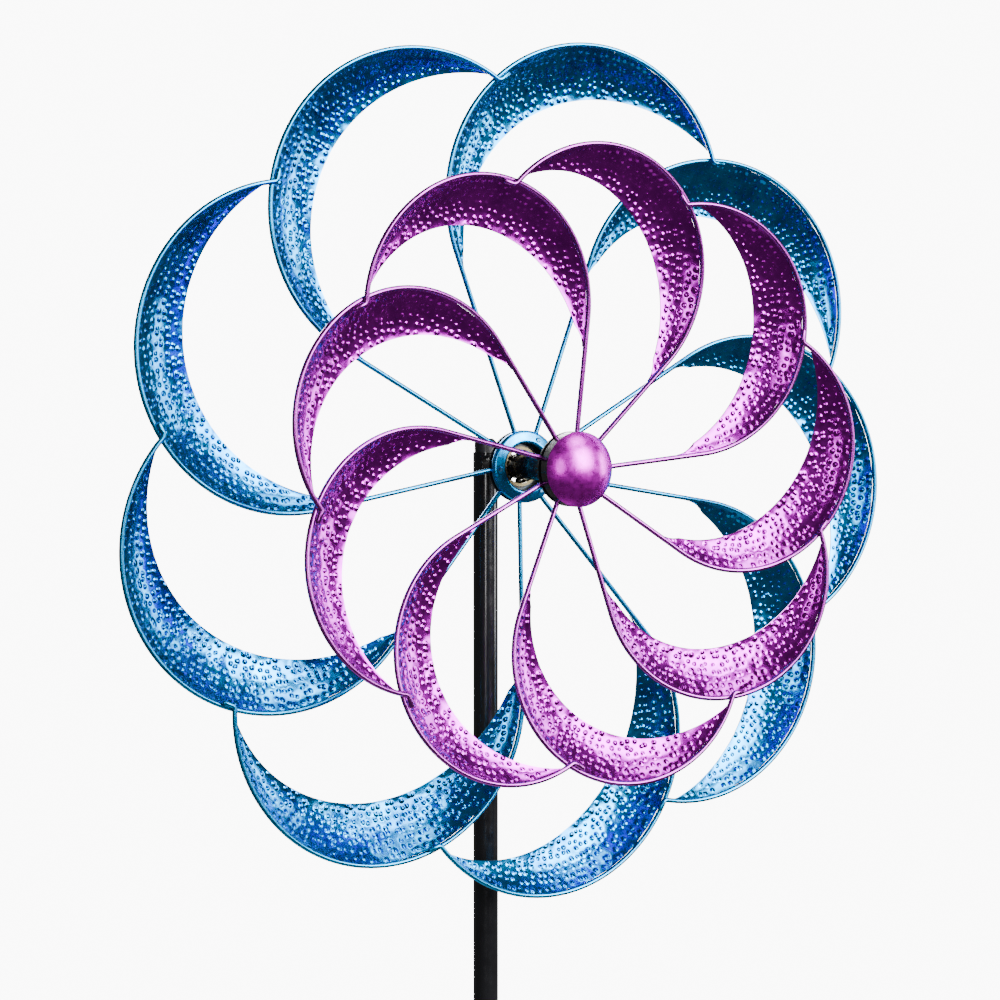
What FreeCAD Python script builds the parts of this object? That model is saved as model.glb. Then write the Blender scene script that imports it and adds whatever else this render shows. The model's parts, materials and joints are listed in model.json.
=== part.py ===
"""Dual-rotor wind spinner on a garden stake.

Z points up and the stake's axis is the Z axis. Z = 0 is the ground line, so the prongs of the
ground fork reach below it. Both rotors turn on one horizontal axle along Y, and their fronts
face -Y. The front rotor is the smaller one; its blades curve the opposite way to the rear ones.
"""
import FreeCAD, Part
import os
from math import cos, pi, radians, sin, sqrt

BLADES = 9
BALLS = 8
RIVETS = 3
PRONGS = 4

DIMENSIONS = {
    # axle line and rotor planes, measured from the stake's axis
    "axle_height": 1600, "rear_plane": 55, "front_plane": 125,
    # blade wire: a straight spoke that runs into one large arc
    "wire_radius": 1.75, "spoke_start": 22.3,
    # blade sheet: a crescent cut from a spherical dish
    "sheet_thickness": 1, "weld_lap": 0.3,
    # hubs
    "hub_radius": 25.5, "plate_thickness": 1.5, "housing_radius": 17.5, "lip_radius": 11,
    "cup_depth": 8, "dome_height": 10, "shell": 1.2,
    "cover_depth": 4, "cover_rise": 1.2, "cover_opening": 16.5, "lip_bend": 0.4,
    "rivet_circle": 20.6, "rivet_radius": 1.1, "rivet_head_radius": 1.9, "rivet_head": 0.9,
    "stem_overlap": 0.4,
    # ball bearings
    "axle_radius": 6, "inner_race_radius": 8.6, "outer_race_bore": 12, "bearing_radius": 14,
    "bearing_width": 8, "ball_pitch_radius": 10.3, "ball_radius": 2.35, "ball_clearance": 0.05,
    # axle stack
    "spacer_radius": 9, "bush_radius": 8, "washer_radius": 11, "washer_thickness": 1.5,
    "nut_width": 18, "nut_height": 5, "axle_tip": 2, "bush_gap": 1,
    # stake
    "tube_radius": 9, "tube_wall": 1.5, "tube_above_axle": 9, "cap_radius": 8, "cap_rise": 10,
    "cap_chamfer": 2.5, "plug_length": 14, "top_joint": 1080, "low_joint": 560,
    "swage_length": 45, "swage_gap": 0.1, "screw_radius": 2.5,
    "screw_head_radius": 5, "screw_head": 3, "screw_bite": 0.4,
    # ground fork
    "socket_radius": 12, "socket_height": 110, "prong_radius": 4, "prong_circle": 45,
    "prong_bend": 14, "arm_height": 30, "prong_depth": 190, "prong_point": 22,
}

# One rotor's blade: the wire arc's centre and radius in the blade's own plane, the angle where
# the arc ends, the cutting circle that leaves the crescent, the dish, the blade's two tilts, and
# how far behind the rotor's plane the tilted spokes start so that they lie on the hub plate.
ROTORS = {
    "front": {"arc_x": 95, "arc_y": 93, "arc": 86.5, "arc_end": 96.5, "cut_shift": 38,
              "cut_turn": 176.5, "cut": 90.3, "dish": 195, "cone": -3.9, "pitch": 5.8,
              "set_back": 1.65, "first": -158.6, "hand": 1},
    "rear": {"arc_x": 170, "arc_y": 94, "arc": 110, "arc_end": 86, "cut_shift": 45,
             "cut_turn": 168, "cut": 114.5, "dish": 212, "cone": -1.2, "pitch": 1.83,
             "set_back": 0.5, "first": -175.8, "hand": -1},
}

doc = FreeCAD.newDocument("wind_spinner")
sheet = doc.addObject("Spreadsheet::Sheet", "sizes")
nodes = {}


def fill_sheet():
    rows = dict(DIMENSIONS)
    for rotor, values in ROTORS.items():
        for name, value in values.items():
            rows[f"{rotor}_{name}"] = value
    for row, (name, value) in enumerate(rows.items(), start=1):
        sheet.set(f"A{row}", name)
        sheet.set(f"B{row}", str(value))
        sheet.setAlias(f"B{row}", name)
    doc.recompute()


def size(name):
    return float(getattr(sheet, name))


def vector(x, y, z):
    return FreeCAD.Vector(x, y, z)


def turn(axis, degrees):
    return FreeCAD.Placement(vector(0, 0, 0), FreeCAD.Rotation(axis, degrees))


X_AXIS, Y_AXIS, Z_AXIS = vector(1, 0, 0), vector(0, 1, 0), vector(0, 0, 1)
# turns a piece drawn upright on +Z so that its +Z points forward, along -Y
FORWARD = turn(X_AXIS, 90)


def new(kind, label, place=None, **bound):
    """Adds an object whose properties follow expressions on the sheet."""
    piece = doc.addObject(kind, label)
    for prop, expression in bound.items():
        piece.setExpression(prop, str(expression))
    if place is not None:
        piece.Placement = place
    return piece


def raised(height):
    return FreeCAD.Placement(vector(0, 0, height), FreeCAD.Rotation())


def cylinder(label, radius, height, bottom=0.0, place=None):
    place = raised(bottom) if place is None else place
    return new("Part::Cylinder", label, place, Radius=radius, Height=height)


def cut(label, base, tool):
    piece = new("Part::Cut", label)
    piece.Base, piece.Tool = base, tool
    return piece


def fuse(label, *shapes):
    piece = new("Part::MultiFuse", label)
    piece.Shapes = list(shapes)
    return piece


def ring(label, outer, inner, height, bottom=0.0):
    """A tube on the Z axis."""
    body = cylinder(label + "_body", outer, height, bottom)
    bore = cylinder(label + "_bore", inner, height, bottom)
    return cut(label, body, bore)


def node(name, piece, place=None):
    """Names a finished sub-part and puts it in its place."""
    if place is not None:
        piece.Placement = place.multiply(piece.Placement)
    piece.Label = name
    nodes[name] = piece


def on_axle(distance):
    """The place on the axle line at a distance in front of the stake's axis."""
    spot = FreeCAD.Placement(vector(0, -distance, size("axle_height")), FreeCAD.Rotation())
    return spot.multiply(FORWARD)


def spun(label, points):
    """A solid of revolution about Z from a closed outline of (radius, height) points."""
    outline = Part.makePolygon([vector(r, 0, z) for r, z in points + points[:1]])
    piece = doc.addObject("Part::Feature", label)
    piece.Shape = Part.Face(outline).revolve(vector(0, 0, 0), Z_AXIS, 360)
    return piece


# ---------------------------------------------------------------- blades

def blade_place(rotor, number):
    """A blade's own frame: X along the spoke, Z to the front, tilted, then set round the hub."""
    hand = size(f"{rotor}_hand")
    round_hub = turn(Z_AXIS, size(f"{rotor}_first") + 360 / BLADES * number)
    tilt = turn(Y_AXIS, size(f"{rotor}_cone")).multiply(turn(X_AXIS, hand * size(f"{rotor}_pitch")))
    plane = on_axle(size(f"{rotor}_plane") - size(f"{rotor}_set_back"))
    return plane.multiply(round_hub).multiply(tilt)


def spoke_end(rotor):
    """Where the spoke touches the arc, as an angle round the arc's centre, and the spoke's length."""
    across = size(f"{rotor}_arc_x") - size("spoke_start")
    up = size(f"{rotor}_arc_y")
    reach = sqrt(across ** 2 + up ** 2)
    length = sqrt(reach ** 2 - size(f"{rotor}_arc") ** 2)
    lean = FreeCAD.Vector(across, up, 0).getAngle(X_AXIS)
    slope = lean - FreeCAD.Vector(length, size(f"{rotor}_arc"), 0).getAngle(X_AXIS)
    return slope, length


def wire(rotor, number):
    """Spoke and arc of one blade: round rod from the hub to the tip."""
    hand = size(f"{rotor}_hand")
    slope, length = spoke_end(rotor)
    name = f"{rotor}_wire_{number + 1}"
    along = FreeCAD.Rotation(vector(0, 0, 1), vector(cos(slope), hand * sin(slope), 0))
    spoke = new("Part::Cylinder", name + "_spoke", Radius="sizes.wire_radius")
    spoke.Height = length
    spoke.Placement = FreeCAD.Placement(vector(size("spoke_start"), 0, 0), along)
    start = slope * 180 / pi - 90
    arc = new("Part::Torus", name + "_arc", Radius1=f"sizes.{rotor}_arc", Radius2="sizes.wire_radius")
    arc.Angle3 = size(f"{rotor}_arc_end") - start
    centre = vector(size(f"{rotor}_arc_x"), hand * size(f"{rotor}_arc_y"), 0)
    first = start if hand > 0 else -size(f"{rotor}_arc_end")
    arc.Placement = FreeCAD.Placement(centre, FreeCAD.Rotation(Z_AXIS, first))
    node(name, fuse(name, spoke, arc), blade_place(rotor, number))


def blade(rotor, number):
    """Sheet-metal crescent: a spherical dish, hollow to the front, trimmed by two circles."""
    hand = size(f"{rotor}_hand")
    name = f"{rotor}_blade_{number + 1}"
    centre = vector(size(f"{rotor}_arc_x"), hand * size(f"{rotor}_arc_y"), 0)
    trim = size(f"{rotor}_arc") - size("wire_radius") + size("weld_lap")
    dish, shift = size(f"{rotor}_dish"), size(f"{rotor}_cut_shift")
    aim = radians(size(f"{rotor}_cut_turn"))
    ball_centre = centre + vector(0, 0, sqrt(dish ** 2 - size(f"{rotor}_arc") ** 2))
    outer = new("Part::Sphere", name + "_back", Radius=f"sizes.{rotor}_dish")
    inner = new("Part::Sphere", name + "_face", Radius=f"sizes.{rotor}_dish - sizes.sheet_thickness")
    outer.Placement.Base = ball_centre
    inner.Placement.Base = ball_centre
    disc = new("Part::Cylinder", name + "_disc", Height=f"sizes.{rotor}_arc")
    disc.Radius = trim
    disc.Placement.Base = centre - vector(0, 0, trim)
    gap = new("Part::Cylinder", name + "_gap", Radius=f"sizes.{rotor}_cut", Height=f"2 * sizes.{rotor}_arc")
    gap.Placement.Base = centre + vector(shift * cos(aim), hand * shift * sin(aim), -trim)
    crescent = cut(name + "_crescent", disc, gap)
    shell = cut(name + "_shell", outer, inner)
    sheet_metal = new("Part::Common", name)
    sheet_metal.Base, sheet_metal.Tool = shell, crescent
    node(name, sheet_metal, blade_place(rotor, number))


# ---------------------------------------------------------------- hubs, drawn with +Z forward

def hub_plate(rotor, forward):
    """Flange behind the wires with the bearing housing and its retaining lip."""
    back = -size("wire_radius") - size("plate_thickness")
    name = f"{rotor}_hub_plate"
    flange = cylinder(name + "_flange", "sizes.hub_radius", "sizes.plate_thickness", back)
    depth = "sizes.bearing_width + sizes.plate_thickness"
    length = size("bearing_width") + size("plate_thickness")
    bottom = back if forward else back + size("plate_thickness") - length
    tube = cylinder(name + "_tube", "sizes.housing_radius", depth, bottom)
    through = cylinder(name + "_lip", "sizes.lip_radius", depth, bottom)
    seat_bottom = bottom + size("plate_thickness")
    seat = cylinder(name + "_seat", "sizes.bearing_radius", "sizes.bearing_width", seat_bottom)
    solid = fuse(name + "_solid", flange, tube)
    hollow = fuse(name + "_hollow", through, seat)
    node(name, cut(name, solid, hollow), on_axle(size(f"{rotor}_plane")))
    return seat_bottom


def bearing(rotor, seat_bottom):
    """Outer race, inner race with ball grooves, and the balls."""
    place = on_axle(size(f"{rotor}_plane"))
    middle = seat_bottom + size("bearing_width") / 2
    for race, outer, inner in (("outer_race", "bearing_radius", "outer_race_bore"),
                               ("inner_race", "inner_race_radius", "axle_radius")):
        name = f"{rotor}_{race}"
        body = ring(name + "_ring", f"sizes.{outer}", f"sizes.{inner}", "sizes.bearing_width", seat_bottom)
        groove = new("Part::Torus", name + "_groove", raised(middle), Radius1="sizes.ball_pitch_radius",
                     Radius2="sizes.ball_radius + sizes.ball_clearance")
        node(name, cut(name, body, groove), place)
    balls = []
    for number in range(BALLS):
        turned = turn(Z_AXIS, 360 / BALLS * number)
        spot = vector(size("ball_pitch_radius"), 0, middle)
        ball = new("Part::Sphere", f"{rotor}_ball_{number + 1}", Radius="sizes.ball_radius")
        ball.Placement.Base = turned.multVec(spot)
        balls.append(ball)
    group = new("Part::Compound", f"{rotor}_bearing_balls")
    group.Links = balls
    node(f"{rotor}_bearing_balls", group, place)


def front_cup():
    """Black cup in front of the wires: a wall and a floor with the housing's opening."""
    floor_bottom = size("wire_radius")
    wall = ring("cup_wall", "sizes.hub_radius", "sizes.hub_radius - sizes.shell", "sizes.cup_depth",
                floor_bottom)
    floor = ring("cup_floor", "sizes.hub_radius", "sizes.housing_radius", "sizes.plate_thickness",
                 floor_bottom)
    node("front_hub_cup", fuse("front_hub_cup", wall, floor), on_axle(size("front_plane")))


def front_dome():
    """Shallow half-ball cover: a spherical shell with a short straight rim."""
    rim, rise, wall = size("hub_radius"), size("dome_height"), size("shell")
    ball = (rim ** 2 + rise ** 2) / (2 * rise)
    bottom = size("wire_radius") + size("cup_depth")
    centre = raised(bottom + rise - ball)
    outside = new("Part::Sphere", "dome_outside", centre)
    inside = new("Part::Sphere", "dome_inside", centre)
    outside.Radius, inside.Radius = ball, ball - wall
    shell = cut("dome_shell", outside, inside)
    keep = cylinder("dome_keep", "sizes.hub_radius", "2 * sizes.dome_height", bottom)
    dome = new("Part::Common", "front_dome")
    dome.Base, dome.Tool = shell, keep
    node("front_dome", dome, on_axle(size("front_plane")))


def rear_cover():
    """Blue spun cover: rim, sloping face, and a lip turned back into the opening."""
    rim, wall, opening = size("hub_radius"), size("shell"), size("cover_opening")
    low = size("wire_radius")
    high = low + size("cover_depth")
    top = high + size("cover_rise")
    points = [(rim, low), (rim, high - wall), (rim - wall, high), (opening + 2 * wall, top),
              (opening + wall, top), (opening, top - wall), (opening, low + wall),
              (opening + wall, low + wall), (opening + wall, top - wall - size("lip_bend")),
              (opening + 2 * wall, top - wall), (rim - wall, high - wall), (rim - wall, low)]
    node("rear_hub_cover", spun("rear_hub_cover", points), on_axle(size("rear_plane")))


def rear_rivets():
    """The rivets that hold the cover to the plate."""
    back = -size("wire_radius") - size("plate_thickness")
    slope = size("cover_rise") / (size("hub_radius") - size("cover_opening") - 3 * size("shell"))
    rise = size("hub_radius") - size("shell") - size("rivet_circle")
    face = size("wire_radius") + size("cover_depth") + slope * rise
    rivets = []
    for number in range(RIVETS):
        turned = turn(Z_AXIS, size("rear_first") + 360 / RIVETS * number)
        spot = turned.multVec(vector(size("rivet_circle"), 0, 0))
        stem = new("Part::Cylinder", f"rivet_stem_{number}", Radius="sizes.rivet_radius")
        stem.Height = face - back + size("stem_overlap")
        stem.Placement.Base = spot + vector(0, 0, back - size("stem_overlap"))
        head = new("Part::Cone", f"rivet_head_{number}", Radius1="sizes.rivet_head_radius",
                   Radius2="0.6 * sizes.rivet_head_radius", Height="sizes.rivet_head")
        head.Placement.Base = spot + vector(0, 0, face)
        tail = new("Part::Cylinder", f"rivet_tail_{number}", Radius="sizes.rivet_head_radius",
                   Height="sizes.rivet_head")
        tail.Placement.Base = spot + vector(0, 0, back - size("rivet_head"))
        rivets.append(fuse(f"rivet_{number}", stem, head, tail))
    group = new("Part::Compound", "rear_hub_rivets")
    group.Links = rivets
    node("rear_hub_rivets", group, on_axle(size("rear_plane")))


# ---------------------------------------------------------------- axle, drawn with +Z forward

def axle_stack(rear_seat, front_seat):
    """Axle rod welded to the stake, and what is clamped on it from the stake to the nut."""
    rear_back = size("rear_plane") + rear_seat
    rear_front = rear_back + size("bearing_width")
    front_back = size("front_plane") + front_seat
    front_front = front_back + size("bearing_width")
    washer_front = front_front + size("washer_thickness")
    nut_front = washer_front + size("nut_height")
    place = on_axle(0)

    rod = new("Part::Cylinder", "axle_rod", Radius="sizes.axle_radius")
    rod.Height = nut_front + size("axle_tip")
    stake_bore = new("Part::Cylinder", "axle_cope", Radius="sizes.tube_radius", Height="4 * sizes.tube_radius")
    stake_bore.Placement = FreeCAD.Placement(vector(0, -2 * size("tube_radius"), 0),
                                             FreeCAD.Rotation(X_AXIS, -90))
    node("axle", cut("axle", rod, stake_bore), place)

    bush_start = size("tube_radius") + size("bush_gap")
    bush = ring("rear_bush", "sizes.bush_radius", "sizes.axle_radius", str(rear_back - bush_start), bush_start)
    node("rear_bush", bush, place)
    spacer = ring("spacer_tube", "sizes.spacer_radius", "sizes.axle_radius",
                  str(front_back - rear_front), rear_front)
    node("spacer_tube", spacer, place)
    washer = ring("axle_washer", "sizes.washer_radius", "sizes.axle_radius", "sizes.washer_thickness",
                  front_front)
    node("axle_washer", washer, place)
    hexagon = new("Part::Prism", "nut_hexagon", raised(washer_front), Height="sizes.nut_height",
                  Circumradius="sizes.nut_width / sqrt(3)")
    hexagon.Polygon = 6
    bore = cylinder("nut_bore", "sizes.axle_radius", "sizes.nut_height", washer_front)
    node("axle_nut", cut("axle_nut", hexagon, bore), place)


# ---------------------------------------------------------------- stake

def stake_tube(name, bottom, top, swaged):
    """One tube section; a swaged section has a reduced spigot that enters the section above."""
    inner = "sizes.tube_radius - sizes.tube_wall"
    tube = ring(name + "_tube", "sizes.tube_radius", inner, str(top - bottom), bottom)
    if not swaged:
        node(name, tube)
        return
    spigot_radius = f"{inner} - sizes.swage_gap"
    spigot = ring(name + "_spigot", spigot_radius, f"{spigot_radius} - sizes.tube_wall",
                  "sizes.swage_length", top)
    collar = ring(name + "_collar", inner, f"{spigot_radius} - sizes.tube_wall", "sizes.tube_wall",
                  top - size("tube_wall"))
    node(name, fuse(name, tube, spigot, collar))


def stake_cap():
    """Plastic end plug: a narrower rounded top and a plug inside the tube."""
    top = size("axle_height") + size("tube_above_axle")
    head = cylinder("cap_head", "sizes.cap_radius", "sizes.cap_rise", top)
    plug = cylinder("cap_plug", "sizes.tube_radius - sizes.tube_wall", "sizes.plug_length",
                    top - size("plug_length"))
    solid = fuse("cap_solid", head, plug)
    doc.recompute()
    rounded = new("Part::Chamfer", "stake_cap")
    rounded.Base = solid
    highest = top + size("cap_rise")
    bevel = size("cap_chamfer")
    rims = [number for number, edge in enumerate(solid.Shape.Edges, start=1)
            if abs(edge.BoundBox.ZMin - highest) < 1e-6 and abs(edge.BoundBox.ZMax - highest) < 1e-6]
    rounded.Edges = [(number, bevel, bevel) for number in rims]
    node("stake_cap", rounded)


def joint_screws():
    """A thumb screw through the upper tube at each joint, tight on the spigot inside."""
    screws = []
    reach = size("tube_radius")
    for joint in ("top_joint", "low_joint"):
        height = size(joint) + 0.5 * size("swage_length")
        stem = new("Part::Cylinder", f"{joint}_stem", Radius="sizes.screw_radius")
        stem.Height = size("tube_wall") + size("screw_bite")
        stem.Placement = FreeCAD.Placement(vector(0, reach - stem.Height.Value, height),
                                           FreeCAD.Rotation(X_AXIS, -90))
        head = new("Part::Cylinder", f"{joint}_head", Radius="sizes.screw_head_radius",
                   Height="sizes.screw_head")
        head.Placement = FreeCAD.Placement(vector(0, reach, height), FreeCAD.Rotation(X_AXIS, -90))
        screws.append(fuse(f"{joint}_screw", stem, head))
    group = new("Part::Compound", "joint_screws")
    group.Links = screws
    node("joint_screws", group)


def fork():
    """Socket for the stake and the prongs, each bent down from an arm welded to the socket."""
    socket = ring("fork_socket", "sizes.socket_radius", "sizes.tube_radius", "sizes.socket_height", 0)
    floor = cylinder("socket_floor", "sizes.socket_radius", "sizes.prong_radius", -size("prong_radius"))
    node("fork_socket", fuse("fork_socket_solid", socket, floor))
    bend, level, start = size("prong_bend"), size("arm_height"), size("socket_radius")
    prongs = []
    for number in range(PRONGS):
        arm = new("Part::Cylinder", f"prong_arm_{number}", Radius="sizes.prong_radius")
        arm.Height = size("prong_circle") - bend - start
        arm.Placement = FreeCAD.Placement(vector(start, 0, level), FreeCAD.Rotation(Y_AXIS, 90))
        elbow = new("Part::Torus", f"prong_elbow_{number}", Radius1="sizes.prong_bend",
                    Radius2="sizes.prong_radius")
        elbow.Angle3 = 90
        elbow.Placement = FreeCAD.Placement(vector(size("prong_circle") - bend, 0, level - bend),
                                            FreeCAD.Rotation(X_AXIS, 90))
        shaft_top = level - bend
        shaft = new("Part::Cylinder", f"prong_shaft_{number}", Radius="sizes.prong_radius")
        shaft.Height = size("prong_depth") - size("prong_point") + shaft_top
        shaft.Placement.Base = vector(size("prong_circle"), 0, shaft_top - shaft.Height.Value)
        tip = new("Part::Cone", f"prong_tip_{number}", Radius1="0.2 * sizes.prong_radius",
                  Radius2="sizes.prong_radius", Height="sizes.prong_point")
        tip.Placement.Base = vector(size("prong_circle"), 0, -size("prong_depth"))
        prong = fuse(f"prong_{number}", arm, elbow, shaft, tip)
        prong.Placement = turn(Z_AXIS, 360 / PRONGS * (number + 0.5))
        prongs.append(prong)
    group = new("Part::Compound", "fork_prongs")
    group.Links = prongs
    node("fork_prongs", group)


def check_and_export():
    doc.recompute()
    for piece in doc.Objects:
        bad = [state for state in piece.State if state in ("Invalid", "Error")]
        if bad:
            raise RuntimeError(f"{piece.Name} is {bad}")
    os.makedirs("parts", exist_ok=True)
    for name, piece in nodes.items():
        if piece.Shape.isNull() or not piece.Shape.isValid() or not piece.Shape.Solids:
            raise RuntimeError(f"{name} has no valid solid")
        piece.Shape.exportStep(f"parts/{name}.step")


fill_sheet()
for rotor_name in ROTORS:
    for blade_number in range(BLADES):
        wire(rotor_name, blade_number)
        blade(rotor_name, blade_number)
rear_seat_bottom = hub_plate("rear", forward=False)
front_seat_bottom = hub_plate("front", forward=True)
bearing("rear", rear_seat_bottom)
bearing("front", front_seat_bottom)
front_cup()
front_dome()
rear_cover()
rear_rivets()
axle_stack(rear_seat_bottom, front_seat_bottom)
stake_tube("stake_top", size("top_joint"), size("axle_height") + size("tube_above_axle"), False)
stake_tube("stake_middle", size("low_joint"), size("top_joint"), True)
stake_tube("stake_lower", 0, size("low_joint"), True)
stake_cap()
joint_screws()
fork()
check_and_export()
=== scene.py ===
"""Looks of the dual-rotor wind spinner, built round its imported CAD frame, in metres."""
import bpy
import bmesh
import json
import random
from math import atan2, cos, pi, radians, sin, sqrt
from mathutils import Matrix, Vector, noise as lumps
from mathutils.kdtree import KDTree


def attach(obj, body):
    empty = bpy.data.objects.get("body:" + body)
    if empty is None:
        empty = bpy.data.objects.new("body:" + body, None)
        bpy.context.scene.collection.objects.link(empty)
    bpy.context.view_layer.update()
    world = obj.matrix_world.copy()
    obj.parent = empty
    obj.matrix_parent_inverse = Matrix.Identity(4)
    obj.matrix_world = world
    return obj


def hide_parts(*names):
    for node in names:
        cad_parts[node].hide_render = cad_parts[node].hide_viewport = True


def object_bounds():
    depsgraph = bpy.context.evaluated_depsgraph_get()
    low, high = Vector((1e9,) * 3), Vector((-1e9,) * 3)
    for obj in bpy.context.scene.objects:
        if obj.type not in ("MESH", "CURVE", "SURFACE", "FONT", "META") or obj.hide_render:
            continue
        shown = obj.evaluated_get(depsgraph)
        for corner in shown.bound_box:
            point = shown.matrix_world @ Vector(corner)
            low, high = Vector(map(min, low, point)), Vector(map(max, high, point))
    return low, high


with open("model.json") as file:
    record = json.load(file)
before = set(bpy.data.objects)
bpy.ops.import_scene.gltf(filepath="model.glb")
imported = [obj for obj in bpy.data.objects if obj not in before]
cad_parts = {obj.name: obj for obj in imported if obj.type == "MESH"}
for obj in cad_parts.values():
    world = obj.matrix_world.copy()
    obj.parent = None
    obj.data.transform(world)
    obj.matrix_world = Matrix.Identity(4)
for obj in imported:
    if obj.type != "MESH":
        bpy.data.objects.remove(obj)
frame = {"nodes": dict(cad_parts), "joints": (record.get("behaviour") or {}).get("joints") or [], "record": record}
cad_box = [list(corner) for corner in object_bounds()]

MM = 0.001
BLADES = 9
JOINTS = {joint["name"]: joint for joint in frame["joints"]}
REAR_HUB = JOINTS["rear_rotor_spin"]["pos_m"]
STAKE_RADIUS = 9 * MM
HUB_RADIUS = 25.5 * MM
COVER_WALL = 1.2 * MM
FLOOR_RADIUS = 0.9

# Softboxes: place, width, height and power in watts.
SOFTBOXES = {
    "key": ((1.15, -2.6, 2.55), 1.7, 1.9, 44),
    "side": ((2.85, -0.9, 1.9), 0.7, 1.5, 7),
    "left": ((-1.4, -2.75, 1.9), 0.35, 1.4, 3.5),
    "overhead": ((0.8, -1.6, 3.9), 1.5, 0.6, 6),
    "back_fill": ((0.5, 3.0, 2.4), 2.0, 1.4, 30),
}
BACKDROP_STRENGTH = 10
AMBIENT_STRENGTH = 0.1

# Noise stays close to its middle, so its clouds are stretched over this part of its range.
NOISE_LOW, NOISE_HIGH = 0.3, 0.7

# The wires, and the hook at each wire's tip.
WIRE_RADIUS = 1.75 * MM
SPOKE_START = 22.3 * MM
ARC_STEPS = 90
HOOK_BEND = 3.2 * MM
HOOK_STEPS = 8
HOOK_TAIL = 6 * MM

# The sheets: mesh, hub-side tip, hammered dots and dents.
SHEET_THICKNESS = 0.9 * MM
SHEET_GRID = 0.72 * MM
WIRE_OVERLAP = 0.2 * MM
TIP_TAPER = radians(9)
TIP_WIDTH = 0.25 * MM
DOT_PITCH = 5.4 * MM
DOT_ROWS = 0.87 * DOT_PITCH
DOT_MARGIN = 2.3 * MM
DOT_STRAY = 1.1 * MM
DOT_RADIUS = 1.65 * MM
DOT_HEIGHT = 0.6 * MM
DENT_LENGTH = 9 * MM
DENT_DEPTH = 0.42 * MM

# Each rotor's blade in its own plane: wire arc, cutting circle, dish and tilts, as in the CAD model.
ROTORS = {
    "front": {"arc_x": 95 * MM, "arc_y": 93 * MM, "arc": 86.5 * MM, "arc_end": 96.5, "cut_shift": 38 * MM,
              "cut_turn": 176.5, "cut": 90.3 * MM, "dish": 195 * MM, "cone": -3.9, "pitch": 5.8,
              "set_back": 1.65 * MM, "first": -158.6, "hand": 1, "gutter": 2.4 * MM, "hook_turn": 62},
    "rear": {"arc_x": 170 * MM, "arc_y": 94 * MM, "arc": 110 * MM, "arc_end": 86, "cut_shift": 45 * MM,
             "cut_turn": 168, "cut": 114.5 * MM, "dish": 212 * MM, "cone": -1.2, "pitch": 1.83,
             "set_back": 0.5 * MM, "first": -175.8, "hand": -1, "gutter": 3 * MM, "hook_turn": 70},
}


# ---------------------------------------------------------------- camera and light

def facing(direction):
    return direction.to_track_quat("-Z", "Y").to_euler()


def make_camera():
    """The photograph's angle: from the left of the front, a little above the axle."""
    distance, azimuth, elevation = 1.578, radians(29), radians(1.62)
    away = Vector((sin(azimuth) * cos(elevation), cos(azimuth) * cos(elevation), -sin(elevation)))
    data = bpy.data.cameras.new("camera")
    data.lens = 80.7
    data.sensor_width = 36
    data.shift_x, data.shift_y = -0.0223, -0.0335
    data.clip_end = 50
    camera = bpy.data.objects.new("camera", data)
    bpy.context.scene.collection.objects.link(camera)
    camera.location = Vector(REAR_HUB) - away * distance
    camera.rotation_euler = facing(away)
    bpy.context.scene.camera = camera


def softbox(name, spot, width, height, power):
    data = bpy.data.lights.new(name, "AREA")
    data.shape = "RECTANGLE"
    data.size = width
    data.size_y = height
    data.energy = power
    data.spread = radians(75)
    lamp = bpy.data.objects.new(name, data)
    bpy.context.scene.collection.objects.link(lamp)
    lamp.location = spot
    lamp.rotation_euler = facing(Vector(REAR_HUB) - Vector(spot))


def background(tree, strength):
    node = tree.nodes.new("ShaderNodeBackground")
    node.inputs["Color"].default_value = (1, 1, 1, 1)
    node.inputs["Strength"].default_value = strength
    return node


def make_light():
    """Large softboxes in a dim room. Only the camera sees the white backdrop."""
    for name, (spot, width, height, power) in SOFTBOXES.items():
        softbox(name, spot, width, height, power)
    world = bpy.data.worlds.new("studio")
    bpy.context.scene.world = world
    world.use_nodes = True
    tree = world.node_tree
    tree.nodes.clear()
    output = tree.nodes.new("ShaderNodeOutputWorld")
    mix = tree.nodes.new("ShaderNodeMixShader")
    path = tree.nodes.new("ShaderNodeLightPath")
    seen = background(tree, BACKDROP_STRENGTH)
    lit = background(tree, AMBIENT_STRENGTH)
    tree.links.new(path.outputs["Is Camera Ray"], mix.inputs["Fac"])
    tree.links.new(lit.outputs["Background"], mix.inputs[1])
    tree.links.new(seen.outputs["Background"], mix.inputs[2])
    tree.links.new(mix.outputs["Shader"], output.inputs["Surface"])


# ---------------------------------------------------------------- materials

def new_material(name):
    material = bpy.data.materials.new(name)
    material.use_nodes = True
    tree = material.node_tree
    shader = tree.nodes["Principled BSDF"]
    return material, tree, shader


def noise(tree, scale, detail):
    coordinates = tree.nodes.new("ShaderNodeTexCoord")
    texture = tree.nodes.new("ShaderNodeTexNoise")
    texture.inputs["Scale"].default_value = scale
    texture.inputs["Detail"].default_value = detail
    texture.inputs["Roughness"].default_value = 0.55
    tree.links.new(coordinates.outputs["Object"], texture.inputs["Vector"])
    return texture


def ramp(tree, source, low, high):
    """Colour clouds between two colours."""
    node = tree.nodes.new("ShaderNodeValToRGB")
    node.color_ramp.elements[0].position = NOISE_LOW
    node.color_ramp.elements[1].position = NOISE_HIGH
    node.color_ramp.elements[0].color = (*low, 1)
    node.color_ramp.elements[1].color = (*high, 1)
    tree.links.new(source.outputs["Fac"], node.inputs["Fac"])
    return node


def spread(tree, source, low, high):
    """A value that wanders between two limits."""
    node = tree.nodes.new("ShaderNodeMapRange")
    node.inputs["From Min"].default_value = NOISE_LOW
    node.inputs["From Max"].default_value = NOISE_HIGH
    node.inputs["To Min"].default_value = low
    node.inputs["To Max"].default_value = high
    tree.links.new(source.outputs["Fac"], node.inputs["Value"])
    return node


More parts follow.
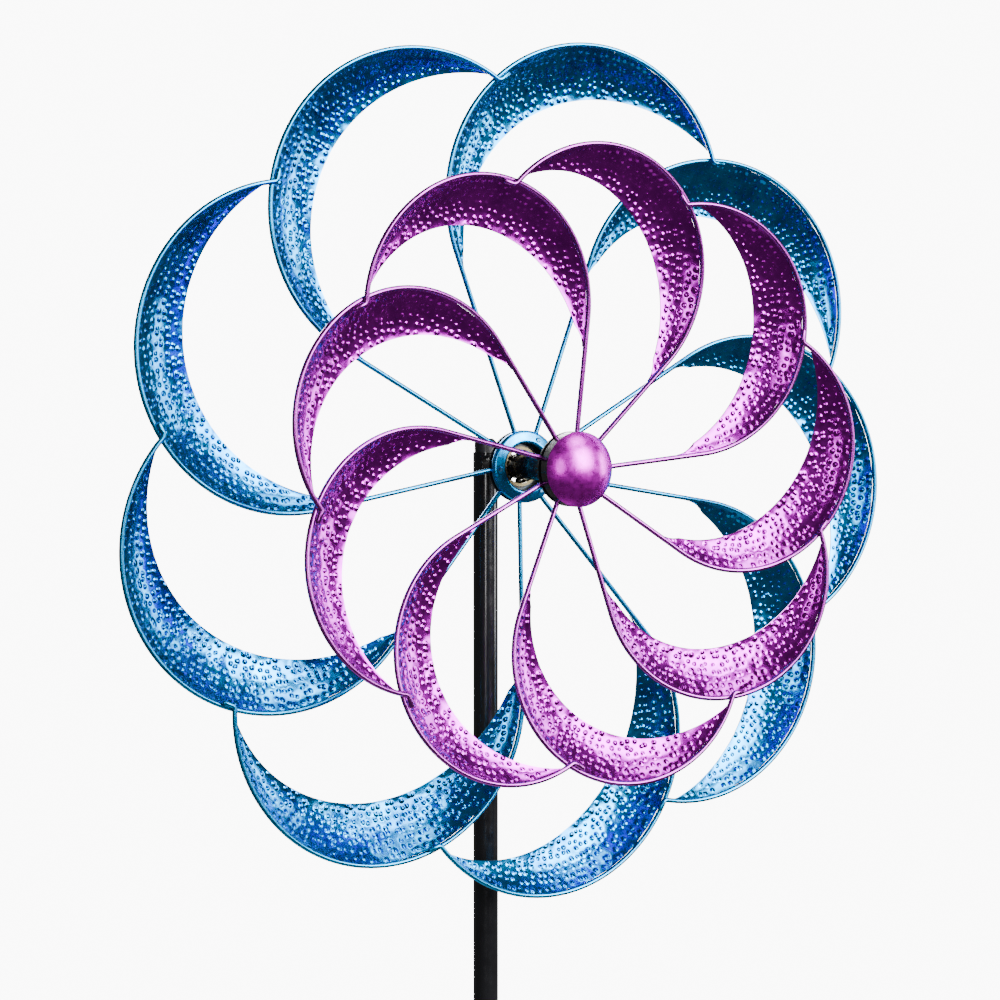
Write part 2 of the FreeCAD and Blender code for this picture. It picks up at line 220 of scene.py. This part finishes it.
def bump(tree, shader, source, strength, distance):
    node = tree.nodes.new("ShaderNodeBump")
    node.inputs["Strength"].default_value = strength
    node.inputs["Distance"].default_value = distance
    tree.links.new(source.outputs["Fac"], node.inputs["Height"])
    tree.links.new(node.outputs["Normal"], shader.inputs["Normal"])


def candy_paint(name, deep, bright, rough, orange_peel=0.06, coat_rough=0.08):
    """Tinted clear lacquer over metal: clouded colour, uneven gloss and a hard clear coat."""
    material, tree, shader = new_material(name)
    clouds = ramp(tree, noise(tree, scale=55, detail=4), deep, bright)
    tree.links.new(clouds.outputs["Color"], shader.inputs["Base Color"])
    gloss = spread(tree, noise(tree, scale=240, detail=3), rough * 0.8, rough * 1.25)
    tree.links.new(gloss.outputs["Result"], shader.inputs["Roughness"])
    shader.inputs["Metallic"].default_value = 1.0
    shader.inputs["Coat Weight"].default_value = 0.15
    shader.inputs["Coat Roughness"].default_value = coat_rough
    bump(tree, shader, noise(tree, scale=420, detail=2), orange_peel, 0.0002)
    return material


def enamel(name, colour, rough, coat=0.3):
    """Opaque gloss enamel with faint orange peel."""
    material, tree, shader = new_material(name)
    lighter = tuple(min(1, channel * 1.6 + 0.002) for channel in colour)
    clouds = ramp(tree, noise(tree, scale=30, detail=4), colour, lighter)
    tree.links.new(clouds.outputs["Color"], shader.inputs["Base Color"])
    gloss = spread(tree, noise(tree, scale=160, detail=3), rough * 0.75, rough * 1.3)
    tree.links.new(gloss.outputs["Result"], shader.inputs["Roughness"])
    shader.inputs["Coat Weight"].default_value = coat
    shader.inputs["Coat Roughness"].default_value = 0.05
    bump(tree, shader, noise(tree, scale=350, detail=2), 0.1, 0.0002)
    return material


def plated(name, dull, clean, rough):
    """Plated or turned steel with fine clouding."""
    material, tree, shader = new_material(name)
    clouds = ramp(tree, noise(tree, scale=130, detail=5), dull, clean)
    tree.links.new(clouds.outputs["Color"], shader.inputs["Base Color"])
    gloss = spread(tree, noise(tree, scale=500, detail=4), rough * 0.7, rough * 1.4)
    tree.links.new(gloss.outputs["Result"], shader.inputs["Roughness"])
    shader.inputs["Metallic"].default_value = 1.0
    bump(tree, shader, noise(tree, scale=900, detail=3), 0.12, 0.0001)
    return material


def make_materials():
    return {
        "front_blade": candy_paint("purple_candy", (0.34, 0.0, 0.4), (0.6, 0.0, 0.66), 0.18),
        "front_wire": candy_paint("purple_candy_wire", (0.34, 0.03, 0.38), (0.46, 0.06, 0.5), 0.24),
        "rear_blade": candy_paint("blue_candy", (0.0, 0.16, 0.5), (0.0, 0.4, 0.86), 0.18),
        "rear_wire": candy_paint("blue_candy_wire", (0.0, 0.26, 0.56), (0.002, 0.36, 0.72), 0.26),
        "front_dome": candy_paint("magenta_dome", (0.62, 0.0, 0.6), (0.65, 0.0, 0.64), 0.29,
                                  orange_peel=0.0, coat_rough=0.2),
        "rear_cover": candy_paint("blue_cover", (0.0, 0.27, 0.64), (0.0, 0.33, 0.74), 0.26,
                                  orange_peel=0.03),
        "hub_black": enamel("hub_enamel", (0.006, 0.006, 0.007), 0.22),
        "rivet": candy_paint("rivet_lacquer", (0.05, 0.2, 0.4), (0.09, 0.28, 0.5), 0.25),
        "bearing_steel": plated("yellow_zinc", (0.12, 0.095, 0.05), (0.24, 0.2, 0.11), 0.3),
        "ball_steel": plated("ball_chrome", (0.03, 0.028, 0.025), (0.06, 0.055, 0.05), 0.3),
        "axle_black": enamel("axle_enamel", (0.006, 0.006, 0.007), 0.25),
        "zinc": plated("zinc_plate", (0.45, 0.46, 0.47), (0.62, 0.63, 0.64), 0.3),
        "stake_black": enamel("stake_enamel", (0.004, 0.004, 0.005), 0.2),
        "cap_plastic": enamel("cap_polyethylene", (0.012, 0.012, 0.013), 0.5, coat=0.2),
    }


# ---------------------------------------------------------------- mesh helpers

def add_piece(name, mesh_data, slot_name, body, *nodes):
    """A finished mesh as a piece that rides on a body and stands for CAD nodes."""
    piece = bpy.data.objects.new(name, mesh_data)
    bpy.context.scene.collection.objects.link(piece)
    piece.data.materials.append(MATERIALS[slot_name])
    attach(piece, body)
    if nodes:
        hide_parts(*nodes)


def mesh_from(name, points, faces):
    mesh_data = bpy.data.meshes.new(name)
    mesh_data.from_pydata(points, [], faces)
    mesh_data.update()
    mesh_data.shade_smooth()
    return mesh_data


def finish_mesh(mesh_data, sharp_angle, merge=False):
    """Turns the faces outward and leaves edges sharper than an angle in degrees unsmoothed."""
    tidy = bmesh.new()
    tidy.from_mesh(mesh_data)
    if merge:
        bmesh.ops.remove_doubles(tidy, verts=tidy.verts, dist=0.001 * MM)
    bmesh.ops.recalc_face_normals(tidy, faces=tidy.faces)
    for edge in tidy.edges:
        edge.smooth = edge.calc_face_angle(0) < radians(sharp_angle)
    tidy.to_mesh(mesh_data)
    tidy.free()


def tube_mesh(name, path, radii, place, sides=14):
    """A round rod along a path of points, with flat closed ends."""
    points, faces = [], []
    normal = None
    count = len(path)
    for index, spot in enumerate(path):
        ahead = path[min(index + 1, count - 1)] - path[max(index - 1, 0)]
        ahead.normalize()
        if normal is None:
            normal = ahead.orthogonal().normalized()
        normal = (normal - ahead * normal.dot(ahead)).normalized()
        side = ahead.cross(normal)
        for step in range(sides):
            turn = 2 * pi * step / sides
            offset = (normal * cos(turn) + side * sin(turn)) * radii[index]
            points.append(place @ (spot + offset))
    for index in range(count - 1):
        for step in range(sides):
            after = (step + 1) % sides
            row, following = index * sides, (index + 1) * sides
            faces.append((row + step, row + after, following + after, following + step))
    faces.append(tuple(reversed(range(sides))))
    faces.append(tuple((count - 1) * sides + step for step in range(sides)))
    return mesh_from(name, points, faces)


def lathe_mesh(name, profile, place):
    """A closed profile of (radius, height) spun about the local Z axis."""
    sides = 128
    points, faces = [], []
    count = len(profile)
    for step in range(sides):
        turn = 2 * pi * step / sides
        for radius, height in profile:
            points.append(place @ Vector((radius * cos(turn), radius * sin(turn), height)))
    for step in range(sides):
        row, following = step * count, (step + 1) % sides * count
        for index in range(count):
            after = (index + 1) % count
            faces.append((row + index, following + index, following + after, row + after))
    mesh_data = mesh_from(name, points, faces)
    finish_mesh(mesh_data, 40, merge=True)
    return mesh_data


def rounded(profile, radius):
    """A closed profile with its corners turned into small curves."""
    steps, longest_share = 5, 0.45
    result = []
    count = len(profile)
    for index in range(count):
        before = Vector(profile[index - 1])
        corner = Vector(profile[index])
        after = Vector(profile[(index + 1) % count])
        shortest = min((before - corner).length, (after - corner).length)
        reach = min(radius, longest_share * shortest)
        first = corner + (before - corner).normalized() * reach
        last = corner + (after - corner).normalized() * reach
        for step in range(steps + 1):
            share = step / steps
            spot = first * (1 - share) ** 2 + corner * 2 * share * (1 - share) + last * share ** 2
            result.append(tuple(spot))
    return result


def on_axle(rotor, behind=0.0):
    """A rotor's own frame: origin on the axle in the wires' plane, +Z to the front."""
    x, y, z = JOINTS[f"{rotor}_rotor_spin"]["pos_m"]
    return Matrix.Translation((x, y + behind, z)) @ Matrix.Rotation(pi / 2, 4, "X")


# ---------------------------------------------------------------- blades

def blade_place(rotor, number):
    shape = ROTORS[rotor]
    around = Matrix.Rotation(radians(shape["first"] + 360 / BLADES * number), 4, "Z")
    cone = Matrix.Rotation(radians(shape["cone"]), 4, "Y")
    pitch = Matrix.Rotation(radians(shape["hand"] * shape["pitch"]), 4, "X")
    return on_axle(rotor, shape["set_back"]) @ around @ cone @ pitch


def spoke(shape):
    """The straight spoke's slope and its length up to where it touches the arc."""
    across, up = shape["arc_x"] - SPOKE_START, shape["arc_y"]
    length = sqrt(across ** 2 + up ** 2 - shape["arc"] ** 2)
    return atan2(up, across) - atan2(shape["arc"], length), length


def blade_wire_path(shape):
    """Spoke, arc and the small hook at the tip that lies along the next blade's wire."""
    hand, arc, up = shape["hand"], shape["arc"], shape["arc_y"]
    slope, length = spoke(shape)
    path = [Vector((SPOKE_START + length * share * cos(slope), length * share * sin(slope), 0))
            for share in (0, 0.02, 0.5, 0.98)]
    start, end = slope - pi / 2, radians(shape["arc_end"])
    for step in range(ARC_STEPS + 1):
        angle = start + (end - start) * step / ARC_STEPS
        path.append(Vector((shape["arc_x"] + arc * cos(angle), up + arc * sin(angle), 0)))
    heading, turn = end + pi / 2, radians(shape["hook_turn"])
    pivot = path[-1] + Vector((sin(heading), -cos(heading), 0)) * HOOK_BEND
    for step in range(1, HOOK_STEPS + 1):
        swing = turn * step / HOOK_STEPS
        path.append(pivot + Vector((-sin(heading - swing), cos(heading - swing), 0)) * HOOK_BEND)
    last = Vector((cos(heading - turn), sin(heading - turn), 0))
    path.append(path[-1] + last * HOOK_TAIL)
    path.append(path[-1] + last * WIRE_RADIUS * 0.6)
    return [Vector((spot.x, hand * spot.y, 0)) for spot in path]


def make_wire(rotor, number):
    name = f"{rotor}_wire_{number + 1}"
    path = blade_wire_path(ROTORS[rotor])
    radii = [WIRE_RADIUS] * (len(path) - 1) + [WIRE_RADIUS * 0.55]
    mesh_data = tube_mesh(name + "_mesh", path, radii, blade_place(rotor, number))
    add_piece(name + "_rod", mesh_data, f"{rotor}_wire", f"{rotor}_rotor", name)


def crescent(shape):
    """The sheet's outline round the arc's centre: outer radius, inner radius at an angle, ends."""
    trim = shape["arc"] - WIRE_RADIUS + WIRE_OVERLAP
    shift, cut = shape["cut_shift"], shape["cut"]
    aim = radians(shape["cut_turn"])
    half = (shift ** 2 + trim ** 2 - cut ** 2) / (2 * shift * trim)
    opening = pi / 2 - atan2(half, sqrt(1 - half ** 2))

    def inner(angle):
        along = shift * cos(angle - aim)
        return along + sqrt(along ** 2 - shift ** 2 + cut ** 2)

    return trim, inner, aim + opening - 2 * pi, aim - opening


def dot_places(outline, rng):
    """Centres of the raised dots as (angle, reach), in uneven rows."""
    trim, inner, start, end = outline
    places = []
    rows = int((trim - inner((start + end) / 2)) / DOT_ROWS) + 2
    for row in range(rows):
        radius = trim - DOT_MARGIN - row * DOT_ROWS
        count = int((end - start) * radius / DOT_PITCH)
        for index in range(count):
            step = index + 0.5 * (row % 2) + rng.uniform(-0.3, 0.3)
            angle = start + step / count * (end - start)
            reach = radius + rng.uniform(-1, 1) * DOT_STRAY
            clear = inner(angle) + 0.45 * DOT_MARGIN < reach < trim - 0.6 * DOT_MARGIN
            if clear and start < angle < end:
                places.append((angle, reach))
    return places


def dot_heights(places, rng):
    """A function that gives the dots' height at a flat spot of the sheet."""
    sizes = [rng.uniform(0.85, 1.15) for _ in places]
    tree = KDTree(len(places))
    for index, (angle, reach) in enumerate(places):
        tree.insert((reach * cos(angle), reach * sin(angle), 0), index)
    tree.balance()

    def height(flat):
        _, index, gap = tree.find(flat)
        radius = DOT_RADIUS * sizes[index]
        if gap >= radius:
            return 0
        return DOT_HEIGHT * sizes[index] * (1 - (gap / radius) ** 2) ** 1.3

    return height


def sheet_points(rotor, number, outline, columns, rows, dots):
    """The sheet's front and back points, in lines from the wire to the inner edge."""
    shape = ROTORS[rotor]
    trim, inner, start, end = outline
    widest = trim - inner((start + end) / 2)
    rim_depth = sqrt(shape["dish"] ** 2 - shape["arc"] ** 2)
    place = blade_place(rotor, number)
    leaves_spoke = spoke(shape)[0] - pi / 2
    front, back = [], []
    for column in range(columns + 1):
        angle = start + (end - start) * column / columns
        rim = trim
        if angle < leaves_spoke:
            rim = trim + shape["arc"] * (1 / cos(leaves_spoke - angle) - 1)
        width = max((rim - inner(angle)) * min(1, (angle - start) / TIP_TAPER), TIP_WIDTH)
        for row in range(rows + 1):
            share = row / rows
            reach = rim - width * share
            flat = Vector((reach * cos(angle), reach * sin(angle), 0))
            depth = sqrt(shape["dish"] ** 2 - min(reach, trim) ** 2) - rim_depth
            depth += shape["gutter"] * (width / widest) * 4 * share * (1 - share)
            lump = Vector((flat.x, flat.y, number * widest)) / DENT_LENGTH
            lift = DENT_DEPTH * (width / widest) * lumps.noise(lump) + dots(flat)
            x, y = shape["arc_x"] + flat.x, shape["hand"] * (shape["arc_y"] + flat.y)
            front.append(place @ Vector((x, y, lift - depth)))
            back.append(place @ Vector((x, y, lift - depth - SHEET_THICKNESS)))
    return front + back


def sheet_faces(columns, rows, hand):
    """Faces of the sheet's front, back and rim, for points in lines of rows + 1."""
    line = rows + 1
    total = line * (columns + 1)
    faces = []
    for column in range(columns):
        for row in range(rows):
            a = column * line + row
            b, c, d = a + 1, a + line, a + line + 1
            front, back = (a, b, d, c), (total + a, total + c, total + d, total + b)
            if hand < 0:
                front, back = (a, c, d, b), (total + a, total + b, total + d, total + c)
            faces += [front, back]
    border = [column * line for column in range(columns + 1)]
    border += [columns * line + row for row in range(1, rows + 1)]
    border += [column * line + rows for column in range(columns - 1, -1, -1)]
    border += list(range(rows - 1, 0, -1))
    for first, second in zip(border, border[1:] + border[:1]):
        quad = (first, second, total + second, total + first)
        faces.append(quad if hand > 0 else tuple(reversed(quad)))
    return faces


def make_blade(rotor, number):
    """Hammered crescent: dished and guttered sheet with real raised dots on both faces."""
    shape = ROTORS[rotor]
    name = f"{rotor}_blade_{number + 1}"
    rng = random.Random(name)
    outline = crescent(shape)
    trim, inner, start, end = outline
    widest = trim - inner((start + end) / 2)
    columns = int((end - start) * (trim - 0.5 * widest) / SHEET_GRID)
    rows = int(widest / SHEET_GRID)
    dots = dot_heights(dot_places(outline, rng), rng)
    points = sheet_points(rotor, number, outline, columns, rows, dots)
    mesh_data = mesh_from(name + "_mesh", points, sheet_faces(columns, rows, shape["hand"]))
    finish_mesh(mesh_data, 60)
    add_piece(name + "_sheet", mesh_data, f"{rotor}_blade", f"{rotor}_rotor", name)


# ---------------------------------------------------------------- hubs

def make_dome():
    """Hollow cap of a ball, in front of the nut and the bearing."""
    rise, low, wall, steps = 10 * MM, 9.75 * MM, COVER_WALL, 40
    ball = (HUB_RADIUS ** 2 + rise ** 2) / (2 * rise)
    centre = low + rise - ball
    spread_angle = atan2(HUB_RADIUS, ball - rise)
    outside = []
    for step in range(steps + 1):
        angle = spread_angle * step / steps
        outside.append((ball * sin(angle), centre + ball * cos(angle)))
    inside = []
    for radius, height in reversed(outside):
        inner_radius = max(radius - wall, 0) if height < low + wall else radius * (1 - wall / ball)
        inside.append((inner_radius, max(height - wall, low)))
    mesh_data = lathe_mesh("dome_mesh", outside + inside, on_axle("front"))
    add_piece("front_dome_shell", mesh_data, "front_dome", "front_rotor", "front_dome")


def make_cover():
    """Blue spun cover with soft corners and a lip turned into the opening."""
    rim, wall, opening = HUB_RADIUS, COVER_WALL, 16.5 * MM
    side, crown, lip_bend, corner = 4 * MM, 1.2 * MM, 0.4 * MM, 0.9 * MM
    low, high = WIRE_RADIUS, WIRE_RADIUS + side
    top = high + crown
    profile = [(rim, low), (rim, high - wall), (rim - wall, high), (opening + 2 * wall, top),
               (opening + wall, top), (opening, top - wall), (opening, low + wall),
               (opening + wall, low + wall), (opening + wall, top - wall - lip_bend),
               (opening + 2 * wall, top - wall), (rim - wall, high - wall), (rim - wall, low)]
    mesh_data = lathe_mesh("cover_mesh", rounded(profile, corner), on_axle("rear"))
    add_piece("rear_hub_cover_shell", mesh_data, "rear_cover", "rear_rotor", "rear_hub_cover")


def make_weld_bead():
    """Uneven weld round the axle's root, on the side of the stake."""
    reach, steps = 6.4 * MM, 48
    rng = random.Random("weld")
    path, radii = [], []
    for step in range(steps + 1):
        turn = 2 * pi * step / steps
        across = reach * cos(turn)
        behind = -sqrt(STAKE_RADIUS ** 2 - across ** 2)
        path.append(Vector((across, behind, REAR_HUB[2] + reach * sin(turn))))
        radii.append(rng.uniform(1.1, 1.7) * MM)
    mesh_data = tube_mesh("axle_weld_mesh", path, radii, Matrix(), sides=12)
    add_piece("axle_weld_bead", mesh_data, "axle_black", "stake")


# ---------------------------------------------------------------- carried-over CAD nodes and floor

def dress_cad_nodes():
    """The CAD nodes that no piece stands for keep their shape and get their slot's material."""
    slots = {part["node"]: part["material_slot"] for part in frame["record"]["subparts"]}
    for name, piece in frame["nodes"].items():
        piece.data.materials.clear()
        piece.data.materials.append(MATERIALS[slots[name]])


def make_floor():
    """A plain pale disc under the prongs."""
    bottom = cad_box[0][2]
    mesh_data = bpy.data.meshes.new("floor_mesh")
    disc = bmesh.new()
    bmesh.ops.create_circle(disc, cap_ends=True, segments=96, radius=FLOOR_RADIUS)
    bmesh.ops.translate(disc, verts=disc.verts, vec=(0, 0, bottom - 1 * MM))
    disc.to_mesh(mesh_data)
    disc.free()
    floor = bpy.data.objects.new("floor", mesh_data)
    bpy.context.scene.collection.objects.link(floor)
    material, tree, shader = new_material("floor_paint")
    shade = ramp(tree, noise(tree, scale=4, detail=2), (0.78, 0.78, 0.77), (0.82, 0.82, 0.81))
    tree.links.new(shade.outputs["Color"], shader.inputs["Base Color"])
    shader.inputs["Roughness"].default_value = 0.7
    mesh_data.materials.append(material)


make_camera()
make_light()
MATERIALS = make_materials()
dress_cad_nodes()
for rotor_name in ROTORS:
    for blade_number in range(BLADES):
        make_wire(rotor_name, blade_number)
        make_blade(rotor_name, blade_number)
make_dome()
make_cover()
make_weld_bead()
make_floor()
